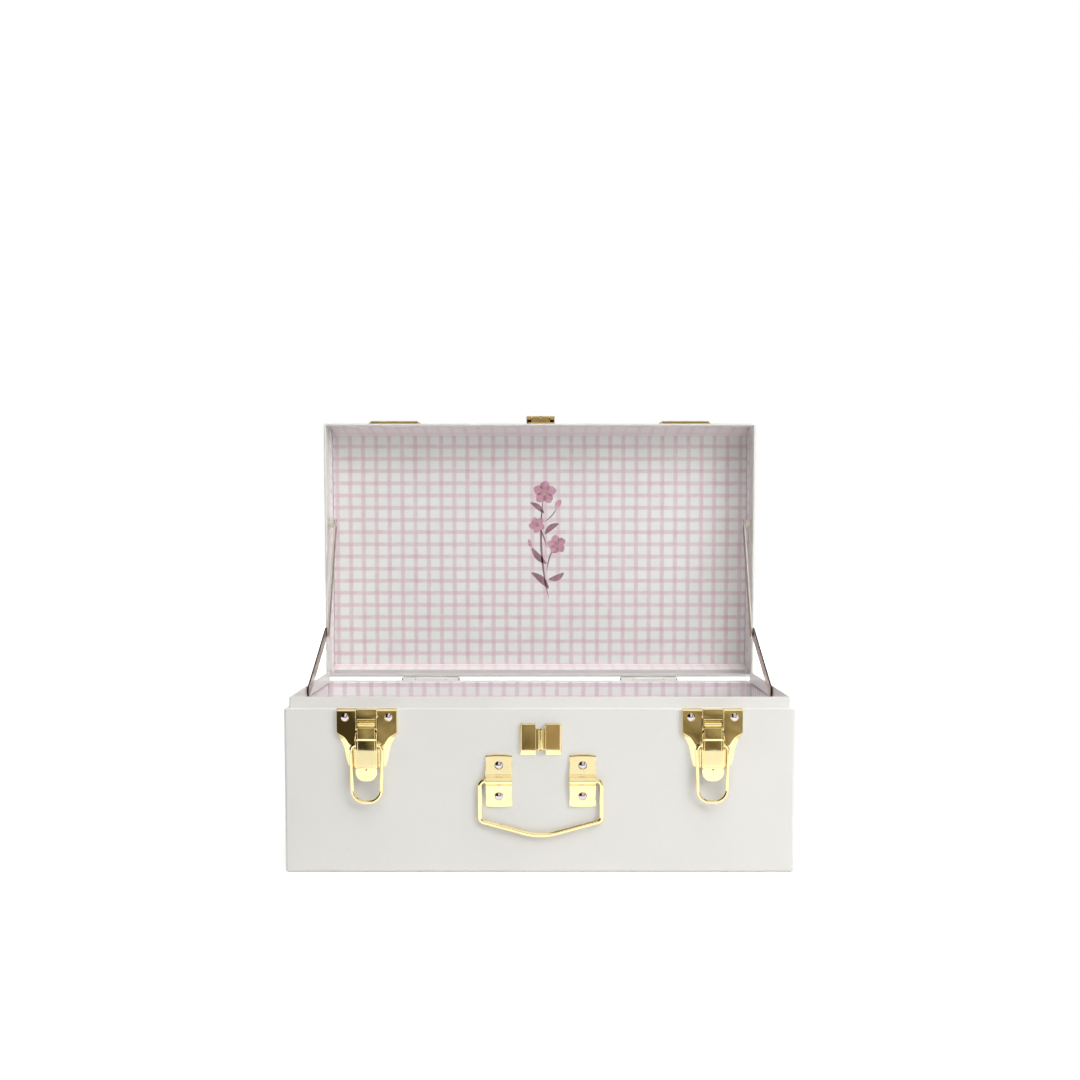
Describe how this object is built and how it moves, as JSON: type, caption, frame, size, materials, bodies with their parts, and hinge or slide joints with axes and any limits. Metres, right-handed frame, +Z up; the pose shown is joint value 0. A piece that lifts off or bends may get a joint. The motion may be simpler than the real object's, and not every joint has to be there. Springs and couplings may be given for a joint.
{
  "type": "lined metal keepsake trunk",
  "caption": "Small painted sheet-metal trunk with a hinged lid on folding stays, check lining, draw latches, a hasp and a wire handle; stores jewellery and keepsakes.",
  "frame": {"origin": "centre of the base's flat underside", "axes": "+X to the right along the case's longest side, +Y to the hinged back, +Z up"},
  "size_m": [0.3, 0.2153, 0.2813],
  "materials": {
    "cream_paint": "satin cream-white enamel",
    "check_lining": "woven pink and white check over board",
    "gold_plate": "polished",
    "nickel_rivet": "polished dome",
    "stay_steel": "warm nickel plate",
    "pin_steel": "turned"
  },
  "bodies": {
    "base": {"base_shell": "cream_paint", "base_liner_floor": "check_lining", "base_liner_front": "check_lining", "base_liner_back": "check_lining", "base_liner_left": "check_lining", "base_liner_right": "check_lining", "hinge_base_leaf_left": "cream_paint", "hinge_base_leaf_right": "cream_paint", "hinge_pin_left": "pin_steel", "hinge_pin_right": "pin_steel", "hinge_base_rivets": "cream_paint", "latch_plate_left": "gold_plate", "latch_plate_right": "gold_plate", "latch_pin_left": "pin_steel", "latch_pin_right": "pin_steel", "latch_rivets": "nickel_rivet", "handle_plate_left": "gold_plate", "handle_plate_right": "gold_plate", "handle_rivets": "nickel_rivet", "hasp_staple": "gold_plate", "stay_base_stud_left": "stay_steel", "stay_base_stud_right": "stay_steel"},
    "lid": {"lid_shell": "cream_paint", "lid_liner_panel": "check_lining", "lid_liner_front": "check_lining", "lid_liner_back": "check_lining", "lid_liner_left": "check_lining", "lid_liner_right": "check_lining", "hinge_lid_leaf_left": "cream_paint", "hinge_lid_leaf_right": "cream_paint", "hinge_lid_rivets": "cream_paint", "keeper_left": "gold_plate", "keeper_right": "gold_plate", "keeper_rivets": "nickel_rivet", "hasp_plate": "gold_plate", "hasp_pin": "pin_steel", "hasp_rivets": "gold_plate", "stay_lid_bracket_left": "stay_steel", "stay_lid_bracket_right": "stay_steel"},
    "hasp": {"hasp_strap": "gold_plate"},
    "handle": {"handle_bail": "gold_plate"},
    "lever_left": {"latch_lever_left": "gold_plate"},
    "bail_left": {"latch_bail_left": "gold_plate"},
    "stay_lower_left": {"stay_lower_arm_left": "stay_steel"},
    "stay_upper_left": {"stay_upper_arm_left": "stay_steel", "stay_elbow_rivet_left": "stay_steel"},
    "lever_right": {"latch_lever_right": "gold_plate"},
    "bail_right": {"latch_bail_right": "gold_plate"},
    "stay_lower_right": {"stay_lower_arm_right": "stay_steel"},
    "stay_upper_right": {"stay_upper_arm_right": "stay_steel", "stay_elbow_rivet_right": "stay_steel"}
  },
  "joints": [
    {"name": "lid_hinge", "type": "hinge", "parent": "base", "child": "lid", "pos_m": [0, 0.0902, 0.09745], "axis": [1, 0, 0], "range_deg": [0, 90]},
    {"name": "latch_lever_left", "type": "hinge", "parent": "base", "child": "lever_left", "pos_m": [-0.1011, -0.09125, 0.0882], "axis": [-1, 0, 0], "range_deg": [0, 60]},
    {"name": "latch_bail_left", "type": "hinge", "parent": "lever_left", "child": "bail_left", "pos_m": [-0.1011, -0.09235, 0.0762], "axis": [-1, 0, 0], "range_deg": [0, 135]},
    {"name": "stay_lower_left", "type": "hinge", "parent": "base", "child": "stay_lower_left", "pos_m": [-0.1455, -0.01976, 0.1004], "axis": [1, 0, 0], "range_deg": [-22.54, 0]},
    {"name": "stay_upper_left", "type": "hinge", "parent": "lid", "child": "stay_upper_left", "pos_m": [-0.144, 0.10345, 0.20665], "axis": [1, 0, 0], "range_deg": [0, 22.54]},
    {"name": "latch_lever_right", "type": "hinge", "parent": "base", "child": "lever_right", "pos_m": [0.1011, -0.09125, 0.0882], "axis": [-1, 0, 0], "range_deg": [0, 60]},
    {"name": "latch_bail_right", "type": "hinge", "parent": "lever_right", "child": "bail_right", "pos_m": [0.1011, -0.09235, 0.0762], "axis": [-1, 0, 0], "range_deg": [0, 135]},
    {"name": "stay_lower_right", "type": "hinge", "parent": "base", "child": "stay_lower_right", "pos_m": [0.1455, -0.01976, 0.1004], "axis": [1, 0, 0], "range_deg": [-22.54, 0]},
    {"name": "stay_upper_right", "type": "hinge", "parent": "lid", "child": "stay_upper_right", "pos_m": [0.144, 0.10345, 0.20665], "axis": [1, 0, 0], "range_deg": [0, 22.54]},
    {"name": "handle_swing", "type": "hinge", "parent": "base", "child": "handle", "pos_m": [0.0006, -0.09, 0.0547], "axis": [-1, 0, 0], "range_deg": [0, 150]},
    {"name": "hasp_swing", "type": "hinge", "parent": "lid", "child": "hasp", "pos_m": [0.0006, 0.09495, 0.2793], "axis": [1, 0, 0], "range_deg": [0, 180]}
  ],
  "couplings": [
    {"joint": "stay_lower_left", "follows": "lid_hinge", "ratio": -0.25042},
    {"joint": "stay_upper_left", "follows": "lid_hinge", "ratio": 0.25042},
    {"joint": "stay_lower_right", "follows": "lid_hinge", "ratio": -0.25042},
    {"joint": "stay_upper_right", "follows": "lid_hinge", "ratio": 0.25042}
  ]
}
